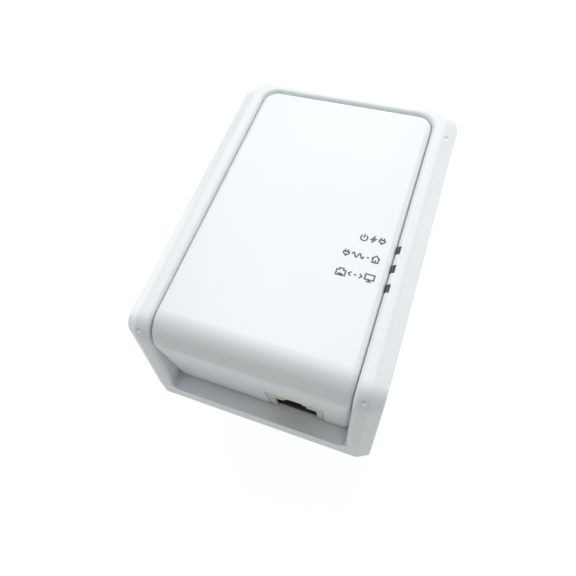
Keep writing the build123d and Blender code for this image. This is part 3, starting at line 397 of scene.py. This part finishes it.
# ---- Printed signs beside the indicators ----
PRINT_THICKNESS = 0.02 * MM
PRINT_SINK = 0.01 * MM
SIGN_HEIGHT = 2.1 * MM
SIGN_STROKE = 0.4 * MM
SIGN_RIGHT = 23.5 * MM  # where the rows end, short of the lenses
SIGN_RISE = 0.2 * MM  # from a lens's middle to the base of its row
SIGN_ROWS = {
    "led_lens_power": ("ring", "bolt", "plug"),
    "led_lens_line": ("plug", "wave", "dash", "house"),
    "led_lens_ethernet": ("port", "left", "dash", "right", "screen"),
}
cover_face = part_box("front_cover")[1].z
print_low, print_high = cover_face - PRINT_SINK, cover_face + PRINT_THICKNESS
signs = bmesh.new()
for lens, names in SIGN_ROWS.items():
    lens_low, lens_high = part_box(lens)
    base = (lens_low.y + lens_high.y) / 2 + SIGN_RISE
    sign_row(signs, names, SIGN_RIGHT, base, SIGN_HEIGHT, SIGN_STROKE, print_low, print_high)
add_piece("cover_signs", signs, "black_plastic", materials["print_ink"])

# ---- Printed signs on the label ----
LABEL_SIGN_HEIGHT = 4.0 * MM
LABEL_ROW = ("double_square", "house", "plug", "wave", "port")
label_low, label_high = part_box("rating_label")
label_middle = (label_low + label_high) / 2
label_signs = bmesh.new()
sign_row(
    label_signs,
    LABEL_ROW,
    label_middle.x - row_length(LABEL_ROW) * LABEL_SIGN_HEIGHT / 2,
    label_middle.y - LABEL_SIGN_HEIGHT / 2,
    LABEL_SIGN_HEIGHT,
    SIGN_STROKE,
    label_low.z - PRINT_THICKNESS,
    label_low.z + PRINT_SINK,
    mirror=-1,  # read from the back
)
add_piece("label_signs", label_signs, "black_plastic", materials["print_ink"])

# ---- Leads of the chips ----
LEAD_THICKNESS = 0.15 * MM
LEAD_BENDS = (0.4, 0.6)  # shares of the reach between which a lead runs down
# Piece, chip, leads on each X side and each Y side, then pitch, width, reach and rise in mm
CHIP_LEADS = (
    ("plc_leads", "plc_chip", (26, 26), 0.5, 0.22, 1.0, 0.7),
    ("ethernet_leads", "ethernet_chip", (12, 12), 0.5, 0.22, 0.8, 0.45),
    ("memory_leads", "memory_chip", (20, 0), 0.55, 0.25, 0.8, 0.5),
    ("flash_leads", "flash_chip", (4, 0), 1.1, 0.4, 0.9, 0.7),
    ("magnetics_leads", "ethernet_magnetics", (0, 8), 1.27, 0.45, 1.0, 1.6),
    ("rectifier_leads", "bridge_rectifier", (0, 2), 5.0, 1.1, 1.2, 1.0),
    ("converter_leads", "converter_chip", (4, 0), 2.0, 0.9, 0.9, 1.4),
    ("diode_leads", "output_diode", (1, 0), 1.0, 2.6, 1.0, 0.9),
)


def lead(mesh, foot, out, side, rise, reach, width):
    """A gull-wing lead from the body, at height rise over its foot, out by reach to the board."""
    flat = LEAD_THICKNESS / 2
    path = [(0.0, rise), (LEAD_BENDS[0] * reach, rise), (LEAD_BENDS[1] * reach, flat), (reach, flat)]
    half = side * width / 2
    up = Vector((0, 0, flat))
    rings = []
    for distance, height in path:
        middle = foot + out * distance + Vector((0, 0, height))
        corners = (-half - up, half - up, half + up, up - half)
        rings.append([mesh.verts.new(middle + corner) for corner in corners])
    join_rings(mesh, rings, False)


def chip_leads(name, node, counts, pitch, width, reach, rise):
    """Leads along a chip's sides: counts is (on each X side, on each Y side)."""
    low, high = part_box(node)
    centre = (low + high) / 2
    sides = (
        (Vector((1, 0, 0)), Vector((0, 1, 0)), high.x - centre.x, counts[0]),
        (Vector((-1, 0, 0)), Vector((0, 1, 0)), high.x - centre.x, counts[0]),
        (Vector((0, 1, 0)), Vector((1, 0, 0)), high.y - centre.y, counts[1]),
        (Vector((0, -1, 0)), Vector((1, 0, 0)), high.y - centre.y, counts[1]),
    )
    mesh = bmesh.new()
    for out, side, half, count in sides:
        for k in range(count):
            along = (k - (count - 1) / 2) * pitch
            foot = Vector((centre.x, centre.y, low.z)) + out * half + side * along
            lead(mesh, foot, out, side, rise, reach, width)
    add_piece(name, mesh, "can_steel")


for name, node, counts, *sizes in CHIP_LEADS:
    chip_leads(name, node, counts, *(size * MM for size in sizes))

# ---- Wound wire of the choke ----
CHOKE_TURNS = 7  # on each half of the core
TURN_PITCH = math.radians(15.5)
WIRE_RADIUS = 0.38 * MM
WIRE_BEND = 0.9 * WIRE_RADIUS  # radius of the wire's middle line at the core's corners
WIRE_SIDES = 8
BEND_STEPS = 3
CORE_INNER = 3.6 * MM  # radius of the core's hole
core_low, core_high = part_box("choke_core")
core_centre = (core_low + core_high) / 2
core_outer = (core_high.x - core_low.x) / 2
core_half_height = (core_high.z - core_low.z) / 2


def wire_loop(mesh, turn):
    """One turn of wire round the ring core, at an angle round the ring."""
    out = Vector((math.cos(turn), math.sin(turn), 0))
    up = Vector((0, 0, 1))
    across = out.cross(up)
    inner = CORE_INNER - WIRE_RADIUS + WIRE_BEND
    outer = core_outer + WIRE_RADIUS - WIRE_BEND
    high = core_half_height + WIRE_RADIUS - WIRE_BEND
    corners = ((inner, -high, 180), (outer, -high, 270), (outer, high, 0), (inner, high, 90))
    rings = []
    for radial, height, start in corners:
        for k in range(BEND_STEPS + 1):
            angle = math.radians(start + 90 * k / BEND_STEPS)
            way = out * math.cos(angle) + up * math.sin(angle)
            middle = core_centre + out * radial + up * height + way * WIRE_BEND
            ring = []
            for n in range(WIRE_SIDES):
                spin = 2 * math.pi * n / WIRE_SIDES
                around = way * math.cos(spin) + across * math.sin(spin)
                ring.append(mesh.verts.new(middle + around * WIRE_RADIUS))
            rings.append(ring)
    join_rings(mesh, rings, True)


windings = bmesh.new()
for half_turn in (0, math.pi):
    for k in range(CHOKE_TURNS):
        wire_loop(windings, half_turn + (k - (CHOKE_TURNS - 1) / 2) * TURN_PITCH)
wound = add_piece("choke_wire", windings, "copper_wire", smooth=True)
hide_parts("choke_winding")

# ---- Scored tops and polarity stripes of the can capacitors ----
# Name, node, the bare top's share of the radius, and the way the stripe faces
CANS = (
    ("bulk", "bulk_capacitor", 0.8, math.radians(-60)),
    ("output", "output_capacitor", 0.78, math.radians(-100)),
)
CAN_STEPS = 64
TOP_LEVELS = ((1.0, -0.02 * MM), (1.0, 0.03 * MM), (0.97, 0.06 * MM))  # share of the top's radius, rise
SCORE_SHARE = 0.72  # of the top's radius
SCORE_WIDTH = 0.25 * MM
SCORE_HEIGHT = 0.055 * MM  # of a line's middle over the can
SCORE_DEPTH = 0.02 * MM  # half a line's thickness
SCORE_STEP = 0.2  # share by which the second line is thicker, so that no two faces lie in one plane
STRIPE_ARC = math.radians(38)
STRIPE_STEPS = 12
STRIPE_SHARES = (0.06, 0.9)  # of the can's height
STRIPE_SKIN = 0.03 * MM


def round_spot(centre, radius, turn, height):
    """A point on an upright cylinder."""
    return (centre.x + radius * math.cos(turn), centre.y + radius * math.sin(turn), height)


def can_top(name, centre, radius, height):
    """A bare aluminium top with a pressed cross, on a sleeved can: the cross is drawn as thin strips of
    darker metal, painted shade in place of the shade in its grooves.
    """
    mesh = bmesh.new()
    turns = [2 * math.pi * k / CAN_STEPS for k in range(CAN_STEPS)]
    rings = []
    for share, rise in TOP_LEVELS:
        spots = [round_spot(centre, radius * share, turn, height + rise) for turn in turns]
        rings.append([mesh.verts.new(spot) for spot in spots])
    join_rings(mesh, rings, False)
    add_piece(name, mesh, "sink_aluminium")
    # The cross: thin strips of darker metal just proud of the top, painted shade for its grooves
    score = bmesh.new()
    for k, angle in enumerate((math.pi / 4, 3 * math.pi / 4)):
        reach = Vector((math.cos(angle), math.sin(angle))) * radius * SCORE_SHARE
        middle = Vector((centre.x, centre.y))
        half_depth = SCORE_DEPTH * (1 + SCORE_STEP * k)
        low, high = height + SCORE_HEIGHT - half_depth, height + SCORE_HEIGHT + half_depth
        stroke(score, [tuple(middle - reach), tuple(middle + reach)], SCORE_WIDTH, low, high)
    add_piece(name + "_score", score, "sink_aluminium", materials["score_painted_shade"])


def can_stripe(name, centre, radius, low, high, facing):
    """The pale stripe down one side of a sleeved can."""
    mesh = bmesh.new()
    bottom = low + (high - low) * STRIPE_SHARES[0]
    top = low + (high - low) * STRIPE_SHARES[1]
    rings = []
    for k in range(STRIPE_STEPS + 1):
        turn = facing + STRIPE_ARC * (k / STRIPE_STEPS - 0.5)
        inside, outside = radius - STRIPE_SKIN, radius + STRIPE_SKIN
        corners = ((inside, bottom), (outside, bottom), (outside, top), (inside, top))
        rings.append([mesh.verts.new(round_spot(centre, reach, turn, height)) for reach, height in corners])
    join_rings(mesh, rings, False)
    add_piece(name, mesh, "capacitor_sleeve", materials["stripe_ink"])


for can, node, share, facing in CANS:
    can_low, can_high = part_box(node)
    can_centre = (can_low + can_high) / 2
    can_radius = (can_high.x - can_low.x) / 2
    can_top(can + "_top", can_centre, can_radius * share, can_high.z)
    can_stripe(can + "_stripe", can_centre, can_radius, can_low.z, can_high.z, facing)

# ---- Floor and lights ----
FLOOR_SIZE = 6.0  # metres
FLOOR_DROP = 0.2 * MM  # below the object, so that nothing lies in the floor's plane
FLOOR_SCALE = 8.0  # of its mottling, per metre
FLOOR_TONES = [(0.3, (0.115, 0.12, 0.12)), (0.7, (0.125, 0.13, 0.13))]
FLOOR_ROUGHNESS = 0.8
FLOOR_GLOW = 0.9
GLOW_COLOUR = (0.98, 1.0, 1.0, 1.0)
SKY_COLOUR = (0.93, 0.98, 1.0, 1.0)
SKY_GLOW = 0.1
# Name, place and size in metres, power in watts
LIGHTS = (
    ("key", (-0.25, 0.55, 0.85), 0.7, 5.2),
    ("overhead", (0.0, 0.0, 1.1), 0.9, 5.5),
    ("right_side", (0.8, 0.45, 0.3), 0.6, 3.4),
    ("left_side", (-0.9, 0.15, 0.25), 0.6, 2.6),
    ("back", (0.0, 0.95, 0.3), 0.6, 4.6),
)


def plane(name, size, height):
    """A level square sheet."""
    mesh = bpy.data.meshes.new(name)
    half = size / 2
    corners = [(-half, -half, height), (half, -half, height), (half, half, height), (-half, half, height)]
    mesh.from_pydata(corners, [], [(0, 1, 2, 3)])
    sheet = bpy.data.objects.new(name, mesh)
    bpy.context.scene.collection.objects.link(sheet)
    return sheet


floor = plane("floor", FLOOR_SIZE, cad_box[0].z - FLOOR_DROP)
floor_white, floor_tree, floor_shader = new_material("floor_white")
floor_tone = ramp(floor_tree, noise(floor_tree, FLOOR_SCALE), FLOOR_TONES)
floor_tree.links.new(floor_tone, floor_shader.inputs["Base Color"])
floor_shader.inputs["Roughness"].default_value = FLOOR_ROUGHNESS
floor_shader.inputs["Emission Color"].default_value = GLOW_COLOUR
floor_shader.inputs["Emission Strength"].default_value = FLOOR_GLOW
floor.data.materials.append(floor_white)


def area_light(name, place, size, power):
    """A square soft light at a place in metres, turned to the object."""
    data = bpy.data.lights.new(name, "AREA")
    data.size = size
    data.energy = power
    light = bpy.data.objects.new(name, data)
    bpy.context.scene.collection.objects.link(light)
    light.location = place
    light.rotation_mode = "QUATERNION"
    light.rotation_quaternion = (-Vector(place)).to_track_quat("-Z", "Y")


for name, place, size, power in LIGHTS:
    area_light(name, place, size, power)
world = bpy.data.worlds.new("studio")
world.use_nodes = True
bpy.context.scene.world = world
backdrop = world.node_tree.nodes["Background"]
backdrop.inputs["Color"].default_value = SKY_COLOUR
backdrop.inputs["Strength"].default_value = SKY_GLOW
